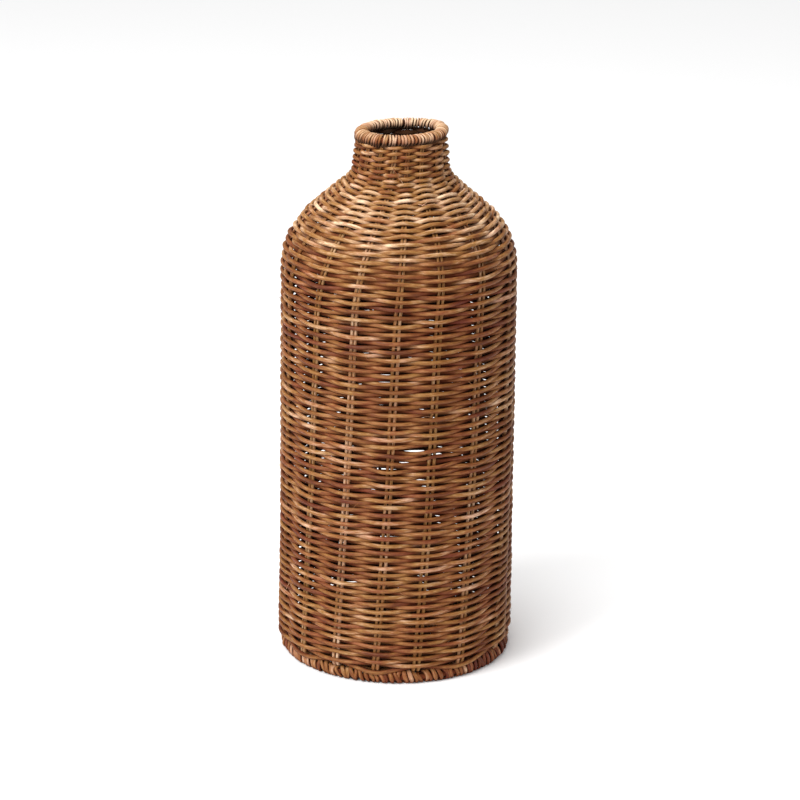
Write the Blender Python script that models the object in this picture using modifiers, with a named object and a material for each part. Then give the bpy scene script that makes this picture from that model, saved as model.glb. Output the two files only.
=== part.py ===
# Rattan vase: fifteen pairs of stakes, woven round by long strands, standing on a lashed
# foot ring and closed at the mouth by a lashed rim ring. Metres, +Z up, origin on the floor
# under the middle, front towards -Y.

import math

import bmesh
import bpy
import numpy as np
from mathutils import Vector

# Outline of the woven wall, on the outside of the strands
VASE_HEIGHT = 0.4583
BODY_RADIUS = 0.0996
FOOT_FLARE = 0.0014
SHOULDER_RISE = 0.0480
SHOULDER_ROUND = 0.0640
NECK_HEIGHT = 0.0393
NECK_FOOT_RADIUS = 0.0431
NECK_ROUND = 0.0180
NECK_TOP_RADIUS = 0.0396

# Stakes: rods in pairs, from the base's eye out and up through the wall to the rim
STAKE_PAIRS = 15
STAKE_DIAMETER = 0.0026
PAIR_GAP_BODY = 0.0014
PAIR_GAP_NECK = 0.0005
HEEL_ROUND = 0.0040
STAKE_BEND_SAG = 0.0003
# A stake gets no extra point for its lean within this length of another point
LEAN_POINT_ROOM = 0.0230
FIRST_PAIR_ANGLE = -70.0
# How far each pair stands from its even place, in degrees, from the left of the front
PAIR_DRIFT = (0.0, 2.0, 0.0, -2.5, -6.0, -6.0, -1.0, 1.5, 2.0, -1.5, -3.0, 0.5, 2.5, 1.0, -2.0)
# How far the stakes lean sideways, in degrees, at shares of their height
STAKE_LEAN = ((0.0, -8.5), (0.35, -3.2), (0.70, 0.0), (0.86, 3.0), (1.0, 10.0))

# Strands: real rows lie one pitch apart, and a modelled course stands for two of them
STRAND_THICKNESS = 0.0028
ROW_PITCH_FOOT = 0.00325
ROW_PITCH_SHOULDER = 0.00365
ROW_PITCH_NECK = 0.00330
ROWS_PER_COURSE = 2
ROW_GAP = 0.0005
BODY_WEAVERS = 14
SHOULDER_WEAVERS = 4
NECK_WEAVERS = 1
STRAND_END_GAP = 0.0030
# Room behind the stakes, over their heels and beside them
INSIDE_SLACK = 0.0011
HEEL_CLEARANCE = 0.0007
PASS_MARGIN = 0.0006
# Where the weave starts, as a pair, which puts the strands' climbs at the back
FIRST_WOVEN_PAIR = 12
# The first and last turns lie level for this share, and the turns even out over this many
LEVEL_SHARE = 0.8
EASING_TURNS = 9

# Base: one strand laid under and over the stakes, round a coiled eye
EYE_RADIUS = 0.0360
EYE_START_RADIUS = 0.0080
EYE_TURN_GAP = 0.0008
EYE_TURN_POINTS = 12
BASE_COURSE_GAP = 0.0026
BASE_PASS_SLACK = 0.0012

# Rings: a hoop inside a lashing, one under the wall and one round the mouth
FOOT_RING_WIDTH = 0.0084
FOOT_RING_HEIGHT = 0.0096
FOOT_RING_INSET = 0.0020
RIM_RING_WIDTH = 0.0116
RIM_RING_HEIGHT = 0.0093
RIM_RING_INSET = 0.0006
HOOP_SAG = 0.00026
LASHING_DIAMETER = 0.0012
LASHING_LOOPS = 24
LASHING_END_GAP = 0.6
LOOP_POINTS = 8
LEAST_LOOP_GAP = 0.0004
FLOOR_CUT = LASHING_DIAMETER / 10

# Clearance between pieces that touch
FIT = 0.0003

# Finishes: colour on the screen's scale of 0 to 255, and roughness
STAKE_COLOURS = ((184, 134, 88), (190, 140, 94), (196, 146, 100), (202, 152, 106), (208, 158, 112))
WEAVER_COLOURS = ((206, 156, 110), (184, 130, 88), (214, 168, 122), (176, 116, 78), (196, 144, 108))
FINISHES = {
    "stake": (STAKE_COLOURS, 0.55),
    "weaver": (WEAVER_COLOURS, 0.50),
    "eye": (((190, 140, 96),), 0.60),
    "base": (((182, 132, 90),), 0.60),
    "hoop": (((170, 120, 78),), 0.60),
    "lashing": (((178, 126, 84),), 0.45),
}

# Values that follow from the sizes above
stakeRadius = STAKE_DIAMETER / 2
lashingRadius = LASHING_DIAMETER / 2
pairStep = 2 * math.pi / STAKE_PAIRS
strandHeight = ROWS_PER_COURSE * min(ROW_PITCH_FOOT, ROW_PITCH_SHOULDER, ROW_PITCH_NECK) - ROW_GAP
outsideOffset = stakeRadius + FIT + STRAND_THICKNESS / 2
insideOffset = outsideOffset + INSIDE_SLACK
wallProud = outsideOffset + STRAND_THICKNESS / 2
baseLevel = FOOT_RING_HEIGHT + FIT + stakeRadius
stakeTop = VASE_HEIGHT - RIM_RING_HEIGHT - FIT
neckFootHeight = VASE_HEIGHT - NECK_HEIGHT
shoulderHeight = neckFootHeight - SHOULDER_RISE
footRingRadius = BODY_RADIUS + FOOT_FLARE - FOOT_RING_INSET - FOOT_RING_WIDTH / 2
rimRingRadius = NECK_TOP_RADIUS - RIM_RING_INSET - RIM_RING_WIDTH / 2
weldDistance = FIT / 30


class Outline:
    # Straight runs joined by arcs in the (radius, height) plane, read by the length along them

    def __init__(self, corners, rounds):
        self.pieces = []
        self.length = 0.0
        start = corners[0]
        for corner, after, radius in zip(corners[1:], corners[2:], rounds):
            into = (corner - start).normalized()
            out = (after - corner).normalized()
            turn = math.atan2(into.x * out.y - into.y * out.x, into.dot(out))
            reach = radius * math.tan(abs(turn) / 2)
            bendStart = corner - into * reach
            self.add_run(start, bendStart)
            self.add_arc(bendStart, into, radius, turn)
            start = corner + out * reach
        self.add_run(start, corners[-1])

    def add_run(self, start, end):
        direction = (end - start).normalized()
        self.pieces.append((self.length, start, direction, 0.0, 0.0))
        self.length += (end - start).length

    def add_arc(self, start, direction, radius, turn):
        self.pieces.append((self.length, start, direction, radius, turn))
        self.length += radius * abs(turn)

    def at(self, length):
        # The point at this length, and the direction that leads out of the vase there
        piece = self.pieces[0]
        for candidate in self.pieces:
            if candidate[0] <= length:
                piece = candidate
        pieceStart, start, direction, radius, turn = piece
        along = length - pieceStart
        if turn == 0.0:
            point = start + direction * along
        else:
            side = math.copysign(1.0, turn)
            angle = along / radius
            left = Vector((-direction.y, direction.x)) * side
            point = start + direction * radius * math.sin(angle) + left * radius * (1 - math.cos(angle))
            direction = direction * math.cos(angle) + left * math.sin(angle)
        return point, Vector((direction.y, -direction.x))

    def reach_height(self, height, low, halvings=40):
        # The length at which the outline climbs to this height, found by halving
        high = self.length
        for _ in range(halvings):
            middle = (low + high) / 2
            if self.at(middle)[0].y < height:
                low = middle
            else:
                high = middle
        return high


def inset_corners(corners, distance):
    # The outline moved inwards by a distance, so that it runs along the stakes' middles
    normals = []
    for first, second in zip(corners, corners[1:]):
        run = (second - first).normalized()
        normals.append(Vector((run.y, -run.x)))
    moved = []
    for index, corner in enumerate(corners):
        before = normals[max(index - 1, 0)]
        after = normals[min(index, len(normals) - 1)]
        moved.append(corner - (before + after) * distance / (1 + before.dot(after)))
    return moved


outsideCorners = [
    Vector((BODY_RADIUS + FOOT_FLARE, baseLevel)),
    Vector((BODY_RADIUS, shoulderHeight)),
    Vector((NECK_FOOT_RADIUS, neckFootHeight)),
    Vector((NECK_TOP_RADIUS, stakeTop)),
]
wallCorners = inset_corners(outsideCorners, wallProud)
wallCorners[0].y = baseLevel
wallCorners[-1].y = stakeTop
wall = Outline([Vector((EYE_RADIUS, baseLevel))] + wallCorners,
               (HEEL_ROUND, SHOULDER_ROUND, NECK_ROUND))
heelEnd = wall.pieces[2][0]
shoulderStart = wall.pieces[3][0]
neckStart = wall.pieces[6][0]


def place(point, angle, sideways=0.0):
    # A point of the (radius, height) plane, turned round the vase from the front to the right
    outward = Vector((math.sin(angle), -math.cos(angle), 0.0))
    along = Vector((math.cos(angle), math.sin(angle), 0.0))
    return outward * point.x + along * sideways + Vector((0.0, 0.0, point.y))


def pair_angle(pair, height):
    share = (height - baseLevel) / (stakeTop - baseLevel)
    lean = np.interp(share, [step[0] for step in STAKE_LEAN], [step[1] for step in STAKE_LEAN])
    drift = PAIR_DRIFT[pair % len(PAIR_DRIFT)]
    return math.radians(FIRST_PAIR_ANGLE + drift + float(lean)) + pair * pairStep


def pair_spacing(radius):
    # The two rods of a pair draw together as the wall narrows
    widest = wallCorners[0].x
    narrowest = wallCorners[-1].x
    share = min(max((radius - narrowest) / (widest - narrowest), 0.0), 1.0)
    return STAKE_DIAMETER + PAIR_GAP_NECK + (PAIR_GAP_BODY - PAIR_GAP_NECK) * share


def linear(red, green, blue):
    # Screen colour, 0 to 255, as the shader's linear values
    return [((value / 255 + 0.055) / 1.055) ** 2.4 for value in (red, green, blue)] + [1.0]


def finish_piece(piece, finish, tone=0):
    # Gives the piece a material of its own, in one of the finish's tones
    colours, roughness = FINISHES[finish]
    colour = linear(*colours[tone % len(colours)])
    material = bpy.data.materials.new(piece.name)
    material.use_nodes = True
    material.diffuse_color = colour
    shader = material.node_tree.nodes["Principled BSDF"]
    shader.inputs["Base Color"].default_value = colour
    shader.inputs["Roughness"].default_value = roughness
    shader.inputs["Metallic"].default_value = 0.0
    piece.data.materials.append(material)


def make_tube(name, points, tilts, group, radius=None, section=None):
    # A rod of straight steps through the points, round or with the section's outline
    curve = bpy.data.curves.new(name, "CURVE")
    curve.dimensions = "3D"
    curve.use_fill_caps = True
    curve.twist_mode = "Z_UP" if section else "MINIMUM"
    if section:
        curve.bevel_mode = "OBJECT"
        curve.bevel_object = section
    else:
        curve.bevel_depth = radius
        curve.bevel_resolution = 0
    spline = curve.splines.new("POLY")
    spline.points.add(len(points) - 1)
    for knot, point, tilt in zip(spline.points, points, tilts):
        knot.co = (*point, 1.0)
        knot.tilt = tilt
    piece = bpy.data.objects.new(name, curve)
    group.objects.link(piece)
    return piece


def make_strip_section(name, thickness, height, group):
    # The rectangle that a strand's section follows: a guide, not a piece of the vase
    curve = bpy.data.curves.new(name, "CURVE")
    curve.dimensions = "2D"
    spline = curve.splines.new("POLY")
    spline.points.add(3)
    spline.use_cyclic_u = True
    corners = ((-1, -1), (-1, 1), (1, 1), (1, -1))
    for knot, (across, up) in zip(spline.points, corners):
        knot.co = (across * thickness / 2, up * height / 2, 0.0, 1.0)
    guide = bpy.data.objects.new(name, curve)
    guide.hide_render = True
    guide.display_type = "WIRE"
    group.objects.link(guide)
    return guide


def as_mesh(piece):
    # The curve as a closed mesh, which a cut can work on
    bpy.context.view_layer.update()
    evaluated = piece.evaluated_get(bpy.context.evaluated_depsgraph_get())
    mesh = bpy.data.meshes.new_from_object(evaluated)
    shape = bmesh.new()
    shape.from_mesh(mesh)
    bmesh.ops.remove_doubles(shape, verts=shape.verts, dist=weldDistance)
    shape.to_mesh(mesh)
    shape.free()
    name = piece.name
    group = piece.users_collection[0]
    place_in_world = piece.matrix_world.copy()
    bpy.data.objects.remove(piece)
    solid = bpy.data.objects.new(name, mesh)
    solid.matrix_world = place_in_world
    group.objects.link(solid)
    return solid


def make_stake(pair, side, group):
    # One rod: from the eye along the base, round the heel, up the wall and in to the rim
    lengths = set()
    for index, piece in enumerate(wall.pieces):
        end = wall.pieces[index + 1][0] if index + 1 < len(wall.pieces) else wall.length
        steps = 1
        if piece[4]:
            stepAngle = 2 * math.acos(1 - STAKE_BEND_SAG / piece[3])
            steps = math.ceil(abs(piece[4]) / stepAngle)
        lengths.update(piece[0] + (end - piece[0]) * step / steps for step in range(steps + 1))
    for share, _ in STAKE_LEAN[1:-1]:
        height = baseLevel + share * (stakeTop - baseLevel)
        length = wall.reach_height(height, heelEnd)
        if all(abs(length - other) > LEAN_POINT_ROOM for other in lengths):
            lengths.add(length)
    points = []
    for length in sorted(lengths):
        point, _ = wall.at(length)
        sideways = side * pair_spacing(point.x) / 2
        points.append(place(point, pair_angle(pair, point.y), sideways))
    name = f"stake_{pair + 1:02d}_{'left' if side < 0 else 'right'}"
    stake = make_tube(name, points, [0.0] * len(points), group, radius=stakeRadius)
    finish_piece(stake, "stake", 2 * pair + side)


class Weave:
    # The one long path that all the wall's strands follow, counted in passes: the even
    # passes go outside a pair of stakes and the odd ones inside the next pair
    uprightLean = 0.1

    def __init__(self):
        # The first course clears the stakes' runs under it, and the last one clears the rim
        first = wall.reach_height(baseLevel + stakeRadius + HEEL_CLEARANCE + strandHeight / 2, heelEnd)
        last = wall.reach_height(stakeTop - strandHeight / 2, neckStart)
        pitches = [ROWS_PER_COURSE * pitch
                   for pitch in (ROW_PITCH_FOOT, ROW_PITCH_SHOULDER, ROW_PITCH_NECK)]
        spans = (("body", first, shoulderStart, pitches[0], pitches[1], BODY_WEAVERS),
                 ("shoulder", shoulderStart, neckStart, pitches[1], pitches[2], SHOULDER_WEAVERS),
                 ("neck", neckStart, last, pitches[2], pitches[2], NECK_WEAVERS))
        turns = sum((end - start) * 2 / (low + high) for _, start, end, low, high, _ in spans)
        self.turns = round(turns)
        self.zones = []
        done = 0.0
        for name, start, end, low, high, weavers in spans:
            count = (end - start) * 2 / (low + high) * self.turns / turns
            self.zones.append((name, done, count, start, end, (high - low) / (high + low), weavers))
            done += count

    def climb(self, turns):
        # Turns climbed after so many turns made: level at first, then a step up at the back,
        # and more even with each turn
        whole = math.floor(turns)
        part = turns - whole
        step = max(part - LEVEL_SHARE, 0.0) / (1 - LEVEL_SHARE)
        evenness = min(whole / EASING_TURNS, 1.0)
        return whole + step + (part - step) * evenness

    def length_at(self, number):
        # The length along the wall's outline that the strand has climbed to at this pass
        made = number / STAKE_PAIRS
        climbed = self.climb(made)
        if made > self.turns / 2:
            climbed = self.turns - self.climb(self.turns - made)
        zone = self.zones[0]
        for candidate in self.zones:
            if candidate[1] <= climbed:
                zone = candidate
        _, before, count, start, end, growth, _ = zone
        share = (climbed - before) / count
        return start + (end - start) * (share + growth * (share * share - share))

    def pair_place(self, number):
        point, outward = wall.at(self.length_at(number))
        return point, outward, pair_angle((number + FIRST_WOVEN_PAIR) % STAKE_PAIRS, point.y)

    def outside_edge(self, number, side):
        # Where the strand starts or stops lying flat across the outside of a pair
        point, outward, angle = self.pair_place(number)
        reach = pair_spacing(point.x) / 2 + stakeRadius + PASS_MARGIN
        return place(point + outward * outsideOffset, angle, side * reach)

    def inside_point(self, number):
        # Behind a pair, the strand of an upright wall goes straight where it clears the stakes
        point, outward, angle = self.pair_place(number)
        straight = (self.outside_edge(number - 1, 1) + self.outside_edge(number + 1, -1)) / 2
        depth = point.x - math.hypot(straight.x, straight.y)
        if abs(outward.y) < self.uprightLean and depth >= insideOffset:
            return straight, True
        return place(point - outward * insideOffset, angle), False

    def tilt_at(self, number):
        # The strip's upright side leans back with the wall
        return -math.asin(wall.at(self.length_at(number))[1].y)

    def route(self, first, last):
        # Points and tilts from one inside pass to another, with half a gap left at each end
        start, _ = self.inside_point(first)
        toward = (self.outside_edge(first + 1, -1) - start).normalized()
        points = [start + toward * STRAND_END_GAP / 2]
        tilts = [self.tilt_at(first)]
        for number in range(first + 1, last):
            if number % 2 == 0:
                points += [self.outside_edge(number, -1), self.outside_edge(number, 1)]
                tilts += [self.tilt_at(number)] * 2
            else:
                inside, isStraight = self.inside_point(number)
                if not isStraight:
                    points.append(inside)
                    tilts.append(self.tilt_at(number))
        end, _ = self.inside_point(last)
        toward = (points[-1] - end).normalized()
        points.append(end + toward * STRAND_END_GAP / 2)
        tilts.append(self.tilt_at(last))
        return points, tilts


def nearest_odd(value):
    return 2 * math.floor(value / 2) + 1


def make_weavers(weave, section, group):
    made = 0
    for name, before, count, _, _, _, weavers in weave.zones:
        for index in range(weavers):
            ends = [STAKE_PAIRS * (before + count * share / weavers) for share in (index, index + 1)]
            first = max(nearest_odd(ends[0]), 1)
            last = min(nearest_odd(ends[1]), STAKE_PAIRS * weave.turns - 1)
            points, tilts = weave.route(first, last)
            strandName = f"{name}_weaver_{index + 1:02d}"
            strand = make_tube(strandName, points, tilts, group, section=section)
            finish_piece(strand, "weaver", made)
            made += 1


def make_base(weave, section, group):
    # The eye is a flat coil that the stakes' ends meet, and the base's strand goes round it
    flat = math.pi / 2
    coilPitch = strandHeight + EYE_TURN_GAP
    coilEnd = EYE_RADIUS - FIT - strandHeight / 2
    coilCount = int(EYE_TURN_POINTS * (coilEnd - EYE_START_RADIUS) / coilPitch)
    lastRod = pair_angle(0, baseLevel) + pair_spacing(EYE_RADIUS) / 2 / EYE_RADIUS
    coilPoints = []
    for index in range(coilCount + 1):
        turnsLeft = (coilCount - index) / EYE_TURN_POINTS
        middle = Vector((coilEnd - coilPitch * turnsLeft, baseLevel))
        coilPoints.append(place(middle, lastRod - 2 * math.pi * turnsLeft))
    eye = make_tube("base_eye_coil", coilPoints, [flat] * len(coilPoints), group, section=section)
    finish_piece(eye, "eye")

    offset = outsideOffset + BASE_PASS_SLACK
    coursePitch = strandHeight + BASE_COURSE_GAP
    firstRadius = EYE_RADIUS + strandHeight / 2 + FIT
    firstTurn = range(1, STAKE_PAIRS, 2)
    wallInside = min(weave.inside_point(number)[0].xy.length for number in firstTurn)
    clearRadius = min(wallInside - STRAND_THICKNESS / 2, footRingRadius - FOOT_RING_WIDTH / 2)
    lastRadius = clearRadius - FIT - strandHeight / 2
    passCount = int(STAKE_PAIRS * (lastRadius - firstRadius) / coursePitch)
    points = []
    for number in range(passCount + 1):
        radius = lastRadius - coursePitch * (passCount - number) / STAKE_PAIRS
        side = -1 if number % 2 == 0 else 1
        angle = pair_angle(number % STAKE_PAIRS, baseLevel)
        points.append(place(Vector((radius, baseLevel + side * offset)), angle))
    base = make_tube("base_weaver", points, [flat] * len(points), group, section=section)
    finish_piece(base, "base")


def ring_section(halfWidth, halfHeight):
    # Eight corners whose flats lie at these distances, running down the outer side first
    corners = []
    for index in range(LOOP_POINTS):
        angle = -(index + 0.5) * 2 * math.pi / LOOP_POINTS
        grow = 1 / math.cos(math.pi / LOOP_POINTS)
        corners.append(Vector((halfWidth * grow * math.cos(angle), halfHeight * grow * math.sin(angle))))
    return corners


def make_hoop(name, ringRadius, middle, halfWidth, halfHeight, group):
    # The ring's core: the section inside the lashing, turned round the vase's axis
    inset = LASHING_DIAMETER + FIT
    mesh = bpy.data.meshes.new(name)
    shape = bmesh.new()
    corners = []
    for corner in ring_section(halfWidth - inset, halfHeight - inset):
        corners.append(shape.verts.new((ringRadius + corner.x, 0.0, middle + corner.y)))
    for index, corner in enumerate(corners):
        shape.edges.new((corner, corners[(index + 1) % len(corners)]))
    shape.to_mesh(mesh)
    shape.free()
    hoop = bpy.data.objects.new(name, mesh)
    group.objects.link(hoop)
    steps = 4 * math.ceil(math.pi / math.acos(1 - HOOP_SAG / ringRadius) / 4)
    turn = hoop.modifiers.new("Turned", "SCREW")
    turn.axis = "Z"
    turn.angle = 2 * math.pi
    turn.steps = steps
    turn.render_steps = steps
    turn.use_merge_vertices = True
    turn.merge_threshold = weldDistance
    finish_piece(hoop, "hoop")


def least_gap(points, diameter):
    # The least space between one loop and another, on points and on the middles between them
    path = np.array([list(point) for point in points])
    path = np.sort(np.concatenate([np.arange(len(path)), np.arange(len(path) - 1) + 0.5]))
    knots = np.array([list(point) for point in points])
    whole = np.floor(path).astype(int)
    after = np.minimum(whole + 1, len(knots) - 1)
    places = knots[whole] + (knots[after] - knots[whole]) * (path - whole)[:, None]
    reach = LOOP_POINTS
    least = math.inf
    for index in range(len(places) - reach):
        apart = np.linalg.norm(places[index + reach:] - places[index], axis=1)
        least = min(least, float(apart.min()))
    return least - diameter


def make_lashing(name, ringRadius, middle, halfWidth, halfHeight, group):
    # One unbroken strip wound round the hoop, loop after loop, all the way round the ring
    section = ring_section(halfWidth - lashingRadius, halfHeight - lashingRadius)
    stepAngle = 2 * math.pi / (LASHING_LOOPS + LASHING_END_GAP) / LOOP_POINTS
    points = []
    for index in range(LASHING_LOOPS * LOOP_POINTS + 1):
        corner = section[index % LOOP_POINTS]
        points.append(place(Vector((ringRadius + corner.x, middle + corner.y)), index * stepAngle))
    gap = least_gap(points, LASHING_DIAMETER)
    print(f"{name}: {LASHING_LOOPS} loops, least gap to itself {gap * 1000:.2f} mm")
    if gap < LEAST_LOOP_GAP:
        print(f"{name}: the loops lie closer than {LEAST_LOOP_GAP * 1000:.1f} mm")
    lashing = make_tube(name, points, [0.0] * len(points), group, radius=lashingRadius)
    finish_piece(lashing, "lashing")
    return lashing


def cut_flat(piece, group):
    # Takes off what reaches under the floor, so that the loops rest on flat faces
    solid = as_mesh(piece)
    reach = footRingRadius + FOOT_RING_WIDTH
    bpy.ops.mesh.primitive_cube_add(size=2 * reach, location=(0.0, 0.0, -reach))
    cutter = bpy.context.object
    cutter.name = "floor_cutter"
    cutter.hide_render = True
    cutter.display_type = "WIRE"
    for collection in cutter.users_collection:
        collection.objects.unlink(cutter)
    group.objects.link(cutter)
    cut = solid.modifiers.new("Floor", "BOOLEAN")
    cut.operation = "DIFFERENCE"
    cut.object = cutter


def make_rings(parts, guides):
    rimHalf = (RIM_RING_WIDTH / 2, RIM_RING_HEIGHT / 2)
    rimMiddle = VASE_HEIGHT - RIM_RING_HEIGHT / 2
    make_hoop("rim_hoop", rimRingRadius, rimMiddle, *rimHalf, parts)
    make_lashing("rim_lashing", rimRingRadius, rimMiddle, *rimHalf, parts)
    footHalf = (FOOT_RING_WIDTH / 2, (FOOT_RING_HEIGHT + FLOOR_CUT) / 2)
    footMiddle = FOOT_RING_HEIGHT - footHalf[1]
    make_hoop("foot_hoop", footRingRadius, footMiddle, *footHalf, parts)
    lashing = make_lashing("foot_lashing", footRingRadius, footMiddle, *footHalf, parts)
    cut_flat(lashing, guides)


for old in list(bpy.data.objects):
    bpy.data.objects.remove(old)
parts = bpy.data.collections.new("rattan_vase")
guides = bpy.data.collections.new("guides_and_cutters")
bpy.context.scene.collection.children.link(parts)
bpy.context.scene.collection.children.link(guides)

strandSection = make_strip_section("strand_section", STRAND_THICKNESS, strandHeight, guides)
for pairNumber in range(STAKE_PAIRS):
    for pairSide in (-1, 1):
        make_stake(pairNumber, pairSide, parts)
wallWeave = Weave()
make_weavers(wallWeave, strandSection, parts)
make_base(wallWeave, strandSection, parts)
make_rings(parts, guides)
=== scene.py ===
# Rattan vase: fifteen pairs of stakes woven round with cane, a lashed ring at the mouth and
# one under the foot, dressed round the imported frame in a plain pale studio.
import math

import bpy
import numpy as np
from mathutils import Matrix, Vector


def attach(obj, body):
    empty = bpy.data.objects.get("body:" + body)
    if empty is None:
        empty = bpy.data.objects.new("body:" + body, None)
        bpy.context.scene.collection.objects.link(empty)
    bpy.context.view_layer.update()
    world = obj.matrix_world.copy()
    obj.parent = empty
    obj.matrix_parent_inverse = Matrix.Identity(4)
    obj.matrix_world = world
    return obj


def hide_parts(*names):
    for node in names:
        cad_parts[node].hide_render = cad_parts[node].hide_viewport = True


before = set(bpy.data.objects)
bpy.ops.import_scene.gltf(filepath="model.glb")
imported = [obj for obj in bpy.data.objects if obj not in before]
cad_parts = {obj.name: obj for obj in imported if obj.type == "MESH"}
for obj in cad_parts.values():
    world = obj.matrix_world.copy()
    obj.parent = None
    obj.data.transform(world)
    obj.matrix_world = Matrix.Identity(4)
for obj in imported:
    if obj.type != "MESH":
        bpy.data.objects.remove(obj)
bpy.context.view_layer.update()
print("frame loaded:", len(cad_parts), "nodes")


# Small helpers

def unit(vectors):
    return vectors / np.linalg.norm(vectors, axis=-1, keepdims=True)


def smooth(part):
    # from 0 to 1, easing in and out
    return part * part * (3 - 2 * part)


def drift(rng, count, step, amount):
    # a smooth random drift, with a new random value every so many samples
    values = rng.uniform(-1, 1, int(count / step) + 3)
    place = np.arange(count) / step
    whole = place.astype(int)
    part = smooth(place - whole)
    return amount * (values[whole] * (1 - part) + values[whole + 1] * part)


def eased(places, knots, values):
    # the knots' values, eased from one to the next
    index = np.clip(np.searchsorted(knots, places, side="right") - 1, 0, len(knots) - 2)
    part = smooth(np.clip((places - knots[index]) / (knots[index + 1] - knots[index]), 0, 1))
    return values[index] * (1 - part) + values[index + 1] * part


def placed(angle, radius, height):
    # places round the axis, with the angle from the front towards the right
    sides = (radius * np.sin(angle), -radius * np.cos(angle), height)
    return np.stack(np.broadcast_arrays(*sides), axis=-1)


def awayFrom(angle, degrees):
    # how far round it is from there, the shorter way
    return (angle - math.radians(degrees) + math.pi) % (2 * math.pi) - math.pi


def nearTo(angle, degrees, spread):
    # 1 there, and less and less further round
    return np.exp((np.cos(angle - math.radians(degrees)) - 1) / math.radians(spread) ** 2)


def onSide(angle, degrees):
    # 1 there, down to 0 a quarter turn away and beyond
    return np.clip(np.cos(angle - math.radians(degrees)), 0, 1)


def roundedLine(corners, rounds, step):
    # points about a step apart, along straight runs joined by arcs
    corners = [np.array(corner, float) for corner in corners]
    line = [corners[0]]

    def run(end):
        start = line[-1]
        count = max(1, round(np.linalg.norm(end - start) / step))
        line.extend(start + (end - start) * share for share in np.linspace(0, 1, count + 1)[1:])

    for corner, after, radius in zip(corners[1:], corners[2:], rounds):
        into = unit(corner - line[-1])
        out = unit(after - corner)
        turn = math.atan2(into[0] * out[1] - into[1] * out[0], into @ out)
        run(corner - into * radius * math.tan(abs(turn) / 2))
        bendStart = line[-1]
        left = np.array([-into[1], into[0]]) * math.copysign(1, turn)
        count = max(2, round(radius * abs(turn) / step))
        for angle in np.linspace(0, abs(turn), count + 1)[1:]:
            line.append(bendStart + into * radius * math.sin(angle)
                        + left * radius * (1 - math.cos(angle)))
    run(corners[-1])
    return np.array(line)


sweepSizes = {
    "endBends": (82, 62, 36),  # a rounded end's rings, in degrees from the strand's side
    # painted shade on the sides of a strand that face in and down
    "inwardShade": 0.7, "underShade": 0.45,
}


def sweep(centres, outward, width, thickness, sides=12, flatten=1.0, closed=False,
          tone=0.5, hue=0.5, extraShade=0.0, groove=0.4):
    # A strand along the centres, its thickness along outward and its width across, with round
    # ends unless it is closed. Flatten under 1 presses its inner side. Painted shade darkens its
    # sides that face in or down. Extra shade adds painted shade where it lies out of the light,
    # and groove says how far round the painted shade on its inner side reaches.
    count = len(centres)
    width, thickness, tone, hue, extraShade = (
        np.broadcast_to(values, count) for values in (width, thickness, tone, hue, extraShade))
    grow = np.ones(count)
    if closed:
        tangent = unit(np.roll(centres, -1, axis=0) - np.roll(centres, 1, axis=0))
    else:
        tangent = unit(np.gradient(centres, axis=0))
        bends = np.radians(sweepSizes["endBends"])
        extra = len(bends)
        reach = thickness[0] / 2 * np.sin(bends)[:, None]
        reachEnd = thickness[-1] / 2 * np.sin(bends[::-1])[:, None]
        centres = np.concatenate([centres[0] - tangent[0] * reach, centres,
                                  centres[-1] + tangent[-1] * reachEnd])
        tangent, outward = (np.pad(ways, ((extra, extra), (0, 0)), mode="edge")
                            for ways in (tangent, outward))
        grow = np.concatenate([np.cos(bends), grow, np.cos(bends[::-1])])
        width, thickness, tone, hue, extraShade = (
            np.pad(values, extra, mode="edge") for values in (width, thickness, tone, hue, extraShade))
        count += 2 * extra
    normal = unit(outward - tangent * np.sum(outward * tangent, axis=1, keepdims=True))
    across = np.cross(tangent, normal)
    turn = 2 * np.pi * (np.arange(sides) + 0.5) / sides
    outer, aside = np.cos(turn), np.sin(turn)
    rise = np.where(outer < 0, outer * flatten, outer)
    places = (centres[:, None]
              + normal[:, None] * (grow * thickness / 2)[:, None, None] * rise[:, None]
              + across[:, None] * (grow * width / 2)[:, None, None] * aside[:, None])
    # painted shade: darker on the sides that face in or down, and more where the strand lies out of the
    # light
    facing = normal[:, 2:] * outer + across[:, 2:] * aside
    inward = np.clip(groove - outer, 0, 1) * sweepSizes["inwardShade"]
    under = np.clip(-facing, 0, 1) * sweepSizes["underShade"]
    paintedShade = np.clip(extraShade[:, None] + inward + under, 0, 1)
    steps = np.linalg.norm(np.diff(centres, axis=0), axis=1)
    if closed:
        steps = np.append(steps, np.linalg.norm(centres[0] - centres[-1]))
    return {
        "places": places.reshape(-1, 3),
        "rings": count,
        "sides": sides,
        "closed": closed,
        "along": np.concatenate([[0], np.cumsum(steps)]),
        "girth": float(np.mean(width + thickness)) * np.pi / 2,
        "tone": np.repeat(np.clip(tone, 0, 1), sides),
        "hue": np.repeat(np.clip(hue, 0, 1), sides),
        "paintedShade": paintedShade.ravel(),
    }


def faceGrid(strand):
    # the ring and the side at which each of a strand's faces starts
    spans = strand["rings"] if strand["closed"] else strand["rings"] - 1
    return np.repeat(np.arange(spans), strand["sides"]), np.tile(np.arange(strand["sides"]), spans)


mapSizes = {
    "grainScale": 100,  # the strand map counts in centimetres
    "rowSlack": 1.08,  # rows are cut at rings, so they run a little over their share
    "rowMargin": 0.06,
}


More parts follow.
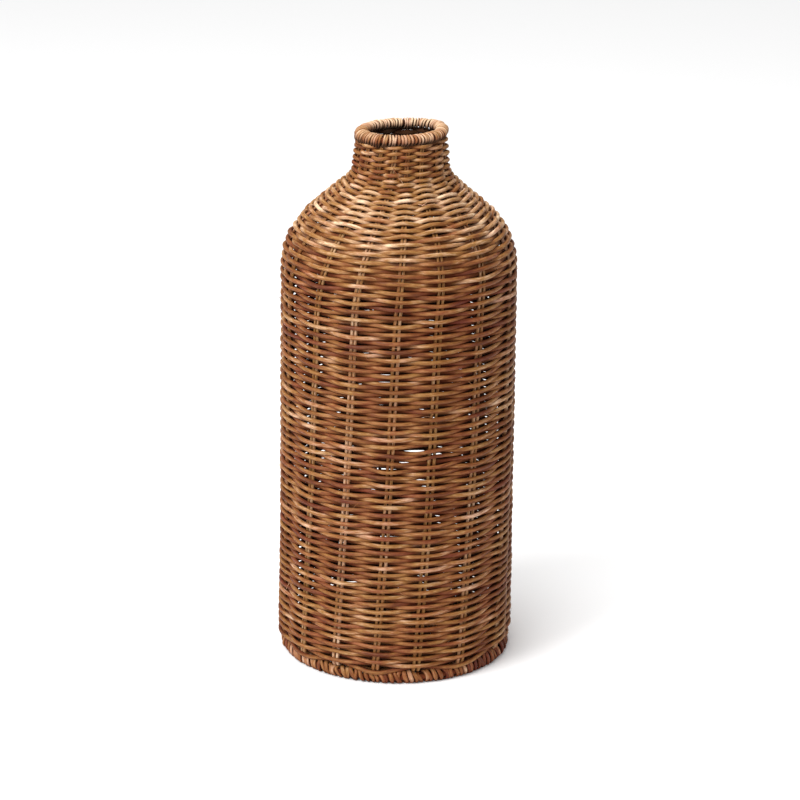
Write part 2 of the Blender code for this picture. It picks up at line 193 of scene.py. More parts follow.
def cornerMaps(strand, startAlong, bakeRow, bakeRows, bakeLength):
    # Each face's corners on two maps: one by centimetres along and the share round, and one
    # that cuts the strand into rows, side by side, so that baked textures have room
    along, margin = strand["along"], mapSizes["rowMargin"]
    ring, side = faceGrid(strand)
    ends = np.stack([ring, ring, ring + 1, ring + 1], axis=1)
    turns = np.stack([side, side + 1, side + 1, side], axis=1) / strand["sides"]
    grain = np.stack([(along[ends] + startAlong) * mapSizes["grainScale"], turns], axis=2)
    row = np.minimum((along[ring] / bakeLength).astype(int), bakeRows - 1)
    across = (along[ends] - row[:, None] * bakeLength) / (bakeLength * mapSizes["rowSlack"])
    up = bakeRow + row[:, None] + margin + turns * (1 - 2 * margin)
    return grain, np.stack([across, up], axis=2)


def addObject(name, data):
    thing = bpy.data.objects.new(name, data)
    bpy.context.scene.collection.objects.link(thing)
    return thing


def addMap(mesh, name, corners):
    layer = mesh.uv_layers.new(name=name)
    layer.uv.foreach_set("vector", corners.astype(np.float32).ravel())


def makePiece(name, strands, material, nodes):
    # Joins the strands in one mesh that rides on the vase and stands for the named nodes
    total = sum(strand["along"][-1] for strand in strands)
    girth = max(strand["girth"] for strand in strands)
    rowLength = max(math.sqrt(total * girth), girth)
    faces, grains, bakes = [], [], []
    first, startAlong, bakeRow = 0, 0.0, 0
    for strand in strands:
        rings, sides = strand["rings"], strand["sides"]
        ring, side = faceGrid(strand)
        here, after = ring * sides, (ring + 1) % rings * sides
        nextSide = (side + 1) % sides
        quads = np.stack([here + side, here + nextSide, after + nextSide, after + side], axis=1)
        faces.extend((quads + first).tolist())
        rowCount = max(1, math.ceil(strand["along"][-1] / rowLength))
        grain, bake = cornerMaps(strand, startAlong, bakeRow, rowCount, rowLength)
        grains.append(grain.reshape(-1, 2))
        bakes.append(bake.reshape(-1, 2))
        if not strand["closed"]:
            faces.append((first + np.arange(sides)[::-1]).tolist())
            faces.append((first + (rings - 1) * sides + np.arange(sides)).tolist())
            for cap in (0, -1):  # the tiny end faces lie where their ring does
                grains.append(np.tile(grain[cap, 0], (sides, 1)))
                bakes.append(np.tile(bake[cap, 0], (sides, 1)))
        first += rings * sides
        startAlong += strand["along"][-1]
        bakeRow += rowCount
    mesh = bpy.data.meshes.new(name)
    mesh.from_pydata(np.concatenate([strand["places"] for strand in strands]).tolist(), [], faces)
    mesh.shade_smooth()
    bakes = np.concatenate(bakes)
    bakes[:, 1] /= bakeRow
    addMap(mesh, "strandMap", np.concatenate(grains))
    addMap(mesh, "OFBake", bakes)
    for attribute in ("tone", "hue", "paintedShade"):
        layer = mesh.attributes.new(attribute, "FLOAT", "POINT")
        values = np.concatenate([strand[attribute] for strand in strands])
        layer.data.foreach_set("value", values.astype(np.float32))
    mesh.materials.append(material)
    piece = addObject(name, mesh)
    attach(piece, "root")
    if nodes:
        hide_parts(*nodes)


# Shader groups: what more than one finish uses

def linear(colour):
    # a screen colour, 0 to 255, as the shader's linear values
    return [((value / 255 + 0.055) / 1.055) ** 2.4 for value in colour] + [1.0]


def feed(tree, inputs, values):
    # links each input to what another node puts out, or sets it to a plain value
    for label, value in values.items():
        if isinstance(value, bpy.types.NodeSocket):
            tree.links.new(value, inputs[label])
        else:
            inputs[label].default_value = value


def newGroup(name, inputs, outputs):
    # The group, what it is given and what it puts out. Inputs have a plain value, or none for
    # a vector, and outputs a kind
    group = bpy.data.node_groups.new(name, "ShaderNodeTree")
    for label, value in inputs.items():
        kind = "NodeSocketVector" if value is None else "NodeSocketFloat"
        socket = group.interface.new_socket(label, in_out="INPUT", socket_type=kind)
        if value is not None:
            socket.default_value = value
    for label, kind in outputs.items():
        group.interface.new_socket(label, in_out="OUTPUT", socket_type=f"NodeSocket{kind}")
    given, made = group.nodes.new("NodeGroupInput"), group.nodes.new("NodeGroupOutput")
    return group, given.outputs, made.inputs


def addNode(tree, kind, values):
    node = tree.nodes.new(f"ShaderNode{kind}")
    feed(tree, node.inputs, values)
    return node.outputs


def groupNode(tree, group, values):
    node = tree.nodes.new("ShaderNodeGroup")
    node.node_tree = group
    feed(tree, node.inputs, values)
    return node.outputs


def mathNode(tree, operation, first, second=0.0, clamp=False):
    node = tree.nodes.new("ShaderNodeMath")
    node.operation = operation
    node.use_clamp = clamp
    feed(tree, node.inputs, {0: first, 1: second})
    return node.outputs[0]


def plus(tree, first, second, clamp=False):
    return mathNode(tree, "ADD", first, second, clamp)


def minus(tree, first, second, clamp=False):
    return mathNode(tree, "SUBTRACT", first, second, clamp)


def times(tree, first, second, clamp=False):
    return mathNode(tree, "MULTIPLY", first, second, clamp)


def rampNode(tree, value, stops):
    node = tree.nodes.new("ShaderNodeValToRGB")
    ramp = node.color_ramp
    while len(ramp.elements) < len(stops):
        ramp.elements.new(0.5)
    for element, (position, colour) in zip(ramp.elements, stops):
        element.position = position
        element.color = linear(colour)
    feed(tree, node.inputs, {0: value})
    return node.outputs[0]


def mixNode(tree, share, first, second):
    node = tree.nodes.new("ShaderNodeMix")
    node.data_type = "RGBA"
    feed(tree, node.inputs, {"Factor": share, "A": first, "B": second})
    return node.outputs["Result"]


def buildStrandCoordinates():
    # Turns the map's centimetres along and share round into a rod's own space, with no seam
    group, given, made = newGroup(
        "strandCoordinates", {"Map": None, "Along": 1.0, "Round": 1.0}, {"Vector": "Vector"})
    split = addNode(group, "SeparateXYZ", {0: given["Map"]})
    angle = times(group, split["Y"], 2 * math.pi)
    turned = addNode(group, "CombineXYZ", {
        0: times(group, split["X"], given["Along"]),
        1: times(group, mathNode(group, "COSINE", angle), given["Round"]),
        2: times(group, mathNode(group, "SINE", angle), given["Round"])})
    feed(group, made, {"Vector": turned[0]})
    return group


fibreNoises = {  # how fast along and round, then the noise's scale, detail and roughness
    "broad": (0.35, 1.3, 1.0, 3.0, 0.55),
    "fine": (0.9, 5.0, 1.0, 4.0, 0.65),
    "fleck": (3.2, 1.8, 1.6, 2.0, 0.55),
    "mottle": (1.5, 1.5, 1.0, 4.0, 0.6),
    "blush": (1.3, 1.0, 1.7, 3.0, 0.6),
}
fibreShares = {
    "Streaks": 0.55, "Height": 0.3,  # what the broad noise has in each, the rest is the fine one's
    "fleckFrom": 0.66, "fleckGain": 9.0, "middle": 0.5,
}


def buildCaneFibres(coordinates, noises, shares):
    # Fine lengthwise fibres: a streak value, a height for bumps, sparse dark flecks, and two
    # soft mottles, one for how dark the stain took and one for how red
    group, given, made = newGroup(
        "caneFibres", {"Map": None, "Fineness": 1.0},
        dict.fromkeys(("Streaks", "Height", "Flecks", "Mottle", "Blush"), "Float"))
    noise = {}
    for label, (along, roundScale, scale, detail, roughness) in noises.items():
        space = groupNode(group, coordinates, {
            "Map": given["Map"], "Along": along,
            "Round": times(group, given["Fineness"], roundScale)})
        noise[label] = addNode(group, "TexNoise", {
            "Vector": space["Vector"], "Scale": scale, "Detail": detail,
            "Roughness": roughness})["Fac"]
    for label in ("Streaks", "Height"):
        broad = times(group, noise["broad"], shares[label])
        fine = times(group, noise["fine"], 1 - shares[label])
        feed(group, made, {label: plus(group, broad, fine)})
    above = minus(group, noise["fleck"], shares["fleckFrom"])
    feed(group, made, {
        "Flecks": times(group, above, shares["fleckGain"], clamp=True),
        "Mottle": minus(group, noise["mottle"], shares["middle"]),
        "Blush": minus(group, noise["blush"], shares["middle"])})
    return group


tintValues = {
    "warm": [(0.0, (84, 38, 6)), (0.3, (118, 70, 26)), (0.55, (148, 104, 51)),
             (0.8, (188, 150, 113)), (1.0, (224, 196, 160))],
    "rosy": [(0.0, (86, 28, 6)), (0.3, (118, 56, 27)), (0.55, (146, 88, 50)),
             (0.8, (184, 134, 108)), (1.0, (218, 180, 154))],
    "fleck": (52, 26, 12), "fleckShare": 0.45,
    # painted shade colours, and how far they cover the cane
    "paintedShade": [(0.6, (92, 24, 2)), (1.0, (48, 22, 10))], "paintedShadeShare": 0.9,
    "streakMiddle": 0.5, "mottleTone": 1.1, "blushHue": 2.0, "ageTone": 0.16,
}


def buildCaneTint(values):
    # From a strand's own tone and hue, its fibres, its wear and its painted shade, to the colour of
    # stained cane
    group, given, made = newGroup(
        "caneTint",
        {"Tone": 0.5, "Hue": 0.5, "Streaks": 0.5, "Streak Depth": 0.4, "Flecks": 0.0,
         "Mottle": 0.0, "Blush": 0.0, "Age": 0.0, "Painted Shade": 0.0},
        {"Color": "Color"})
    streak = minus(group, given["Streaks"], values["streakMiddle"])
    tone = plus(group, given["Tone"], times(group, streak, given["Streak Depth"]))
    tone = plus(group, tone, times(group, given["Mottle"], values["mottleTone"]))
    tone = minus(group, tone, times(group, given["Age"], values["ageTone"]), clamp=True)
    hue = plus(group, given["Hue"], times(group, given["Blush"], values["blushHue"]), clamp=True)
    colour = mixNode(group, hue, rampNode(group, tone, values["warm"]),
                     rampNode(group, tone, values["rosy"]))
    flecks = times(group, given["Flecks"], values["fleckShare"])
    colour = mixNode(group, flecks, colour, linear(values["fleck"]))
    # painted shade mixed over the cane colour
    paintedShade = times(group, given["Painted Shade"], values["paintedShadeShare"])
    colour = mixNode(group, paintedShade, colour, rampNode(group, given["Painted Shade"], values["paintedShade"]))
    feed(group, made, {"Color": colour})
    return group


handlingValues = {"detail": 3.0, "roughness": 0.5, "from": 0.35, "gain": 2.2}


def buildHandling(values):
    # Where years of handling and dust have dulled the cane, in soft patches a hand wide
    group, given, made = newGroup("handling", {"Position": None, "Patch Scale": 22.0}, {"Age": "Float"})
    patch = addNode(group, "TexNoise", {
        "Vector": given["Position"], "Scale": given["Patch Scale"],
        "Detail": values["detail"], "Roughness": values["roughness"]})["Fac"]
    age = times(group, minus(group, patch, values["from"]), values["gain"], clamp=True)
    feed(group, made, {"Age": age})
    return group


strandCoordinates = buildStrandCoordinates()
caneFibres = buildCaneFibres(strandCoordinates, fibreNoises, fibreShares)
caneTint = buildCaneTint(tintValues)
handling = buildHandling(handlingValues)
print("shader groups built")


def makeCane(name, finish):
    # One finish of cane: its tint, fibres and wear from the groups, its gloss on the shader
    material = bpy.data.materials.new(name)
    material.use_nodes = True
    tree = material.node_tree
    strandMap = tree.nodes.new("ShaderNodeUVMap")
    strandMap.uv_map = "strandMap"
    own = {}
    for attribute in ("tone", "hue", "paintedShade"):
        node = tree.nodes.new("ShaderNodeAttribute")
        node.attribute_name = attribute
        own[attribute] = node.outputs["Fac"]
    fibres = groupNode(tree, caneFibres, {
        "Map": strandMap.outputs["UV"], "Fineness": finish["fineness"]})
    wear = groupNode(tree, handling, {
        "Position": addNode(tree, "TexCoord", {})["Object"], "Patch Scale": finish["patchScale"]})
    # the tint takes the strand's painted shade
    tint = groupNode(tree, caneTint, {
        "Tone": own["tone"], "Hue": own["hue"], "Painted Shade": own["paintedShade"], "Age": wear["Age"],
        "Streak Depth": finish["streakDepth"],
        **{label: fibres[label] for label in ("Streaks", "Flecks", "Mottle", "Blush")}})
    aged = times(tree, wear["Age"], finish["agedRoughness"])
    # rougher where the painted shade lies
    roughInShade = times(tree, own["paintedShade"], finish["shadeRoughness"])
    fibrous = times(tree, fibres["Streaks"], finish["fibreRoughness"])
    rough = plus(tree, fibrous, plus(tree, aged, roughInShade))
    bump = addNode(tree, "Bump", {
        "Strength": finish["bumpStrength"], "Distance": finish["bumpDepth"],
        "Height": fibres["Height"]})
    feed(tree, tree.nodes["Principled BSDF"].inputs, {
        "Base Color": tint["Color"], "Specular IOR Level": finish["specular"],
        "Roughness": plus(tree, rough, finish["roughness"], clamp=True),
        "Normal": bump["Normal"]})
    return material


caneFinish = {
    "roughness": 0.42, "fibreRoughness": 0.16, "agedRoughness": 0.14, "shadeRoughness": 0.5,
    "specular": 0.28, "fineness": 1.0, "patchScale": 22.0, "streakDepth": 0.55,
    "bumpStrength": 0.5, "bumpDepth": 0.00025,
}
strandCane = makeCane("strandCane", caneFinish)
stakeCane = makeCane("stakeCane", {**caneFinish, "fineness": 0.9})
lashingCane = makeCane("lashingCane", {**caneFinish, "fineness": 1.3, "streakDepth": 0.7})
coreCane = makeCane("coreCane", {**caneFinish, "roughness": 0.5})
baseCane = makeCane("baseCane", {**caneFinish, "roughness": 0.48, "patchScale": 30.0})
fibreCane = makeCane("fibreCane", {**caneFinish, "roughness": 0.5, "fineness": 0.4})
print("finishes made")


# The wall's outline, along the middles of the stakes

wallSizes = {
    "vaseHeight": 0.4583, "bodyRadius": 0.1000, "footFlare": 0.0014,
    "shoulderRise": 0.0500, "shoulderRound": 0.0640,
    "neckHeight": 0.0393, "neckFootRadius": 0.0422, "neckRound": 0.0180, "neckTopRadius": 0.0393,
    "stakeDepth": 0.0044, "stakeTop": 0.4487, "step": 0.0005,
    "baseLevel": 0.0112, "heelRound": 0.0040, "heelFrom": 0.0003, "eyeRadius": 0.0360,
}


def outlineOfStakes(sizes):
    neckFoot = sizes["vaseHeight"] - sizes["neckHeight"]
    face = [np.array(corner) for corner in (
        (sizes["bodyRadius"] + sizes["footFlare"], sizes["baseLevel"]),
        (sizes["bodyRadius"], neckFoot - sizes["shoulderRise"]),
        (sizes["neckFootRadius"], neckFoot),
        (sizes["neckTopRadius"], sizes["stakeTop"]))]
    normals = [unit(np.array([after[1] - before[1], before[0] - after[0]]))
               for before, after in zip(face, face[1:])]
    corners = [np.array([sizes["eyeRadius"], sizes["baseLevel"]])]
    for index, corner in enumerate(face):
        before, after = normals[max(index - 1, 0)], normals[min(index, len(normals) - 1)]
        corners.append(corner - (before + after) * sizes["stakeDepth"] / (1 + before @ after))
    corners[1][1] = sizes["baseLevel"]
    corners[-1][1] = sizes["stakeTop"]
    rounds = (sizes["heelRound"], sizes["shoulderRound"], sizes["neckRound"])
    return roundedLine(corners, rounds, sizes["step"])


wallLine = outlineOfStakes(wallSizes)
wallLengths = np.concatenate([[0], np.cumsum(np.linalg.norm(np.diff(wallLine, axis=0), axis=1))])
wallWay = unit(np.gradient(wallLine, wallLengths, axis=0))
heelStart, heelEnd = (
    wallLengths[np.argmax(wallLine[:, 1] > wallSizes["baseLevel"] + wallSizes[rise])]
    for rise in ("heelFrom", "heelRound"))


def wallAt(length):
    # radius and height of the stakes' middles there, and the way out of the wall
    radius, height, wayOut, wayUp = (
        np.interp(length, wallLengths, values) for values in (*wallLine.T, *wallWay.T))
    return radius, height, wayUp, -wayOut


def onWall(length, angle, outset, sideways=0.0):
    # a place on the wall, that far out of it and to the side, and the way out there
    radius, height, outRadius, outHeight = wallAt(length)
    outward = placed(angle, outRadius, outHeight)
    along = np.stack([np.cos(angle), np.sin(angle), np.zeros_like(angle)], axis=-1)
    place = placed(angle, radius, height) + outward * outset[:, None]
    return place + along * np.reshape(sideways, (-1, 1)), outward


def lengthAtHeight(height):
    above = wallLengths > heelStart
    return np.interp(height, wallLine[above, 1], wallLengths[above])


# Stakes: two rods to a pair, leaning and twisting a little as they climb. A drift is how many
# samples apart its values are, and their amount

stakeSizes = {
    "seed": 11, "pairs": 15, "diameter": 0.0029, "firstAngle": -70.0,
    "uneven": (0.0, 2.0, 0.0, -2.5, -6.0, -6.0, -1.0, 1.5, 2.0, -1.5, -3.0, 0.5, 2.5, 1.0, -2.0),
    "leanShares": (0.0, 0.35, 0.70, 0.86, 1.0), "leans": (-8.5, -3.2, 0.0, 3.0, 10.0),
    "neckUneven": (11.0, 7.0, 4.0, 0.0, -1.0, 1.0, 0.0, -2.0, -4.0, -6.0, -5.0, -3.0, 1.0, 5.0, 9.0),
    "neckShares": (0.72, 0.92),
    "widestGap": 0.0010, "gapShares": (0.15, 1.4), "gapDrift": (22, 0.5),
    "unlike": 0.05, "thicknessDrift": (14, 0.06), "neckThinning": 0.33,
    "sidewaysDrift": (9, 0.00022), "outsetDrift": (11, 0.000132),
    "heelReach": 0.01, "heelOutset": 0.2, "step": 0.0022, "sides": 12,
    "tones": (0.59, 0.78), "palest": 0.86, "toneApart": 0.07, "toneDrift": (18, 0.12),
    "neckDarkening": 0.10, "hues": (0.0, 0.8), "hueApart": 0.15, "hueDrift": (25, 0.2),
}


def pairAngle(number, height):
    # number may lie between two pairs, and runs on past the last pair to the first
    pairs = stakeSizes["pairs"]
    knots = np.arange(math.floor(np.min(number)), math.ceil(np.max(number)) + 2)
    uneven, atNeck = (np.interp(number, knots, [stakeSizes[row][knot % pairs] for knot in knots])
                      for row in ("uneven", "neckUneven"))
    share = (height - wallSizes["baseLevel"]) / (wallSizes["stakeTop"] - wallSizes["baseLevel"])
    gather = np.interp(share, stakeSizes["neckShares"], (0, 1))
    lean = np.interp(share, stakeSizes["leanShares"], stakeSizes["leans"]) + atNeck * gather
    return np.radians(stakeSizes["firstAngle"] + uneven + lean + number * 360 / pairs)


def pairGap(radius):
    # the room between a pair's two rods, none at the top
    widest, narrowest = wallLine[:, 0].max(), wallLine[-1, 0]
    return stakeSizes["widestGap"] * np.clip((radius - narrowest) / (widest - narrowest), 0, 1)


def makeStakes(sizes):
    rng = np.random.default_rng(sizes["seed"])
    length = np.arange(0, wallLengths[-1], sizes["step"])
    count = len(length)
    radius, height, _, _ = wallAt(length)
    up = np.interp(height / wallSizes["stakeTop"], sizes["neckShares"], (0, 1))
    thinning = 1 - sizes["neckThinning"] * up
    for pair in range(sizes["pairs"]):
        pairTone = rng.uniform(*sizes["tones"])
        pairHue = rng.uniform(*sizes["hues"])
        pairSize = sizes["diameter"] * (1 + rng.uniform(-sizes["unlike"], sizes["unlike"]))
        angle = pairAngle(pair, height)
        gap = pairGap(radius) * (rng.uniform(*sizes["gapShares"]) + drift(rng, count, *sizes["gapDrift"]))
        apart = pairSize * thinning + np.maximum(gap, 0)
        for sideName, side in (("left", -1), ("right", 1)):
            sideways = side * apart / 2 + drift(rng, count, *sizes["sidewaysDrift"])
            outset = drift(rng, count, *sizes["outsetDrift"])
            outset[length < heelEnd + sizes["heelReach"]] *= sizes["heelOutset"]
            centres, outward = onWall(length, angle, outset, sideways)
            thickness = pairSize * (1 + drift(rng, count, *sizes["thicknessDrift"])) * thinning
            tone = (pairTone + rng.uniform(-sizes["toneApart"], sizes["toneApart"])
                    + drift(rng, count, *sizes["toneDrift"]) - sizes["neckDarkening"] * up)
            hue = (pairHue + rng.uniform(-sizes["hueApart"], sizes["hueApart"])
                   + drift(rng, count, *sizes["hueDrift"]))
            rod = sweep(centres, outward, thickness, thickness, sizes["sides"],
                        tone=np.minimum(tone, sizes["palest"]), hue=hue)
            makePiece(f"stakeRod{pair + 1:02d}{sideName}", [rod], stakeCane,
                      [f"stake_{pair + 1:02d}_{sideName}"])


makeStakes(stakeSizes)
print("stakes made")


# Wall strands: one long cane after another, over a pair and behind the next

weaveSizes = {
    "seed": 5, "pathSamples": 4000, "samplesPerPass": 14, "sides": 12,
    "firstRowHeight": 0.0136, "topClearance": 0.0007,
    "startPair": 12, "levelShare": 0.8, "easingTurns": 9,
    "pitchHeights": (0.013, 0.15, 0.31, 0.34, 0.385, 0.415, 0.449),
    "pitches": (0.00318, 0.00330, 0.00350, 0.00345, 0.00316, 0.00264, 0.00258),
    "zones": (("body", 14, 400), ("shoulder", 4, 800), ("neck", 1, 400)),  # strands, first seed
    "faceFrom": 0.1, "shoulderLean": 0.02, "neckLean": 0.13, "neckWithin": 0.05,
    "overrun": 2, "spareBefore": 4, "spareAfter": 6, "endGap": 0.03,
    "strandDiameter": 0.00346, "unlike": 0.02, "thicknessDrift": (160, 0.07),
    "strokeThickening": 0.03, "fineDrift": (9, 0.012),
    "thicknessHeights": (0.33, 0.37, 0.41, 0.44), "thicknesses": (1.0, 1.08, 1.02, 0.92),
    "outside": 0.0028, "inside": 0.0027, "insideSpread": 0.44, "backSpread": 0.30,
    "strokeBulge": 0.00024, "bulgeLimits": (-1.5, 2),
    "strokeLift": 0.00042, "crossLift": 0.00014, "liftLimits": (-2, 2),
    "waves": (  # turns round, change along the wall, phase, height
        (3, 38.0, 0.0, 0.00045), (5, -61.0, 1.3, 0.00035),
        (2, 83.0, 2.1, 0.00030), (7, 29.0, 4.0, 0.00022)),
    "calmTurns": 3, "calmShare": 0.25,  # the first and the last turns wander less
    "footDip": 0.0024, "footDipTurns": 1.6, "footDipLeast": 0.6, "footDipInside": 0.8,
    "footDipWaves": 3, "footDipPhase": 0.6,
    "neckTilt": 0.0014, "neckTiltFrom": 0.415,
    "openReach": 0.009, "openEdge": 0.0012,
    "openSpots": (  # degrees round, height, how far apart, degrees it spreads
        (61.0, 0.4090, 0.0016, 9.0), (-4.0, 0.3830, 0.0012, 5.0),
        (11.0, 0.4035, 0.0012, 6.0), (28.0, 0.3990, 0.0012, 6.0),
        (33.0, 0.3760, 0.0012, 5.0), (8.0, 0.2090, 0.0022, 9.0),
        (20.0, 0.1990, 0.0022, 9.0), (-5.0, 0.1930, 0.0014, 6.0),
        (-16.0, 0.1700, 0.0014, 7.0), (166.0, 0.1420, 0.0022, 13.0),
        (170.0, 0.1320, 0.0022, 12.0), (186.0, 0.1270, 0.0018, 9.0),
        (196.0, 0.1070, 0.0018, 9.0), (140.0, 0.3900, 0.0012, 8.0),
        (200.0, 0.1500, 0.0009, 9.0), (58.0, 0.0100, 0.0034, 20.0)),
    "thinPatches": (  # degrees round, height, how much thinner, reach round and up
        (14.0, 0.192, 0.08, 16.0, 0.024), (168.0, 0.128, 0.15, 20.0, 0.024)),
    # painted light and shade: patches of strands made paler or darker where more or less light falls on
    # the wall
    "paintedLightPatches": (  # degrees round, height, how much paler, reach round and up
        (57.0, 0.384, 0.16, 16.0, 0.016), (-20.0, 0.055, 0.14, 20.0, 0.030),
        (-28.0, 0.335, 0.08, 14.0, 0.030), (31.0, 0.290, -0.12, 12.0, 0.070),
        (31.0, 0.145, -0.08, 12.0, 0.040), (0.0, 0.246, -0.08, 34.0, 0.016),
        (4.0, 0.114, 0.07, 28.0, 0.010), (6.0, 0.064, 0.08, 30.0, 0.016),
        (4.0, 0.030, 0.06, 34.0, 0.010)),
    "tone": 0.45, "unlikeTone": 0.05, "toneDrift": (75, 0.10), "toneSpread": 0.14,
    # painted light: the strands over the shoulder are paler and less red, where the light from above
    # falls
    "shoulderLightHeights": (0.345, 0.370, 0.385, 0.408, 0.430), "bleach": (0.0, 0.10, 0.19, 0.30, 0.04),
    "hue": 0.30, "hueDrift": (120, 0.20), "hueSpread": 0.22,
    # painted shade on the passes that lie inside the stakes
    "insideShade": 0.6, "insideShadeFrom": 0.25,
}


def patched(patches, angle, height):
    # what the soft patches add there
    total = np.zeros_like(height)
    for degrees, middle, amount, spread, reach in patches:
        away = awayFrom(angle, degrees) / math.radians(spread)
        total += amount * np.exp(-away ** 2 - ((height - middle) / reach) ** 2)
    return total


class Weave:
    # The path that all the wall's strands follow, counted in passes: even ones go outside a
    # pair of stakes, odd ones inside the next

    def __init__(self, sizes):
        self.sizes = sizes
        first = lengthAtHeight(sizes["firstRowHeight"])
        last = lengthAtHeight(wallSizes["stakeTop"] - sizes["topClearance"])
        self.lengths = np.linspace(first, last, sizes["pathSamples"])
        pitch = np.interp(wallAt(self.lengths)[1], sizes["pitchHeights"], sizes["pitches"])
        between = np.diff(self.lengths) / ((pitch[1:] + pitch[:-1]) / 2)
        rows = np.concatenate([[0], np.cumsum(between)])
        self.turns = round(rows[-1])
        self.rows = rows * self.turns / rows[-1]
        self.passes = stakeSizes["pairs"] * self.turns
        self.knots = np.arange(-sizes["spareBefore"], self.passes + sizes["spareAfter"], 0.5)
        count = len(self.knots)
        rng = np.random.default_rng(sizes["seed"])
        atPair = np.arange(count) % 2 == 0
        liftSpread = np.where(atPair, sizes["strokeLift"], sizes["crossLift"])
        self.lifts = np.clip(rng.normal(0, 1, count), *sizes["liftLimits"]) * liftSpread
        self.bulges = np.clip(rng.normal(0, 1, count), *sizes["bulgeLimits"]) * sizes["strokeBulge"]
        self.swells = rng.normal(0, 1, count) * sizes["strokeThickening"]
        self.tones = rng.normal(0, 1, count) * sizes["toneSpread"]
        self.hues = rng.normal(0, 1, count) * sizes["hueSpread"]

    def climb(self, made):
        # turns climbed: level at first with a step up at the back, then evener each turn
        whole = np.floor(made)
        part = made - whole
        step = np.maximum(part - self.sizes["levelShare"], 0) / (1 - self.sizes["levelShare"])
        evenness = np.minimum(whole / self.sizes["easingTurns"], 1)
        return whole + step + (part - step) * evenness

    def lengthAt(self, number):
        # how far up the wall a pass lies: the top turns mirror the bottom ones
        made = np.clip(number / stakeSizes["pairs"], 0, self.turns)
        fromTop = self.turns - self.climb(self.turns - made)
        climbed = np.where(made <= self.turns / 2, self.climb(made), fromTop)
        return np.interp(climbed, self.rows, self.lengths)

    def passAt(self, length):
        return np.interp(length, self.lengths, self.rows) * stakeSizes["pairs"]

    def liftAt(self, number, length, angle, height, swing):
        # how far a strand wanders up or down from its even climb
        sizes = self.sizes
        lift = eased(number, self.knots, self.lifts)
        for turnsRound, change, phase, amount in sizes["waves"]:
            lift += amount * np.sin(turnsRound * angle + change * length + phase)
        made = number / stakeSizes["pairs"]
        room = np.clip(np.minimum(made, self.turns - made) / sizes["calmTurns"], 0, 1)
        lift *= sizes["calmShare"] + (1 - sizes["calmShare"]) * room
        nearFoot = np.clip(1 - made / sizes["footDipTurns"], 0, 1)
        wavy = 0.5 + 0.5 * np.sin(sizes["footDipWaves"] * angle + sizes["footDipPhase"])
        outer = sizes["footDipLeast"] + (1 - sizes["footDipLeast"]) * wavy
        dip = sizes["footDipInside"] + (outer - sizes["footDipInside"]) * (0.5 + 0.5 * swing)
        lift -= sizes["footDip"] * nearFoot * dip
        inNeck = (height - sizes["neckTiltFrom"]) / (wallSizes["stakeTop"] - sizes["neckTiltFrom"])
        lift += sizes["neckTilt"] * np.sin(angle) * np.clip(inNeck, 0, 1) ** 2
        return lift + self.openedAt(length, angle)

    def openedAt(self, length, angle):
        # here and there two rows stand apart, with the rows near them pushed closer
        lift = np.zeros_like(length)
        for degrees, height, amount, spread in self.sizes["openSpots"]:
            away = awayFrom(angle, degrees) / math.radians(spread)
            apart = length - lengthAtHeight(height)
            reach = np.exp(-away ** 2 - np.abs(apart) / self.sizes["openReach"])
            lift += amount * np.tanh(apart / self.sizes["openEdge"]) * reach
        return lift

    def looksAt(self, rng, number, angle, height):
        # how thick the cane is, and its tone and hue, with painted light over the shoulder and the
        # painted light and shade patches added
        sizes, count = self.sizes, len(number)
        thickness = sizes["strandDiameter"] * (
            1 + rng.uniform(-sizes["unlike"], sizes["unlike"])
            + drift(rng, count, *sizes["thicknessDrift"])
            + eased(number, self.knots, self.swells) + drift(rng, count, *sizes["fineDrift"]))
        thickness *= np.interp(height, sizes["thicknessHeights"], sizes["thicknesses"])
        thickness *= 1 - patched(sizes["thinPatches"], angle, height)
        # painted light over the shoulder, paler and less red
        shoulderLit = np.interp(height, sizes["shoulderLightHeights"], sizes["bleach"])
        # the tone takes the painted light over the shoulder and the painted light and shade patches
        tone = (sizes["tone"] + shoulderLit + rng.uniform(-sizes["unlikeTone"], sizes["unlikeTone"])
                + drift(rng, count, *sizes["toneDrift"])
                + eased(number, self.knots, self.tones) + patched(sizes["paintedLightPatches"], angle, height))
        hue = (sizes["hue"] - shoulderLit + drift(rng, count, *sizes["hueDrift"])
               + eased(number, self.knots, self.hues))
        return thickness, tone, hue

    def strand(self, first, last, seed):
        # the cane from one inside pass to another
        sizes = self.sizes
        rng = np.random.default_rng(seed)
        count = int((last - first) * sizes["samplesPerPass"]) + 1
        number = np.linspace(first + sizes["endGap"], last - sizes["endGap"], count)
        length = self.lengthAt(number)
        height = wallAt(length)[1]
        angle = pairAngle(number + sizes["startPair"], height)
        swing = np.cos(np.pi * number)
        lift = self.liftAt(number, length, angle, height, swing)
        outset = np.where(swing > 0, sizes["outside"], sizes["inside"]) * swing
        outset = outset + eased(number, self.knots, self.bulges) * swing
        centres, outward = onWall(length + lift, angle, outset)
        thickness, tone, hue = self.looksAt(rng, number, angle, height)
        spread = sizes["insideSpread"] + sizes["backSpread"] * (0.5 - 0.5 * np.cos(angle))
        width = thickness * (1 + spread * np.clip(-swing, 0, 1))
        # painted shade, darker where the strand passes inside the stakes
        extraShade = sizes["insideShade"] * np.clip(sizes["insideShadeFrom"] - swing, 0, 1)
        return sweep(centres, outward, width, thickness, sizes["sides"], tone=tone, hue=hue,
                     extraShade=extraShade)


def nearestOdd(value):
    return 2 * math.floor(value / 2) + 1


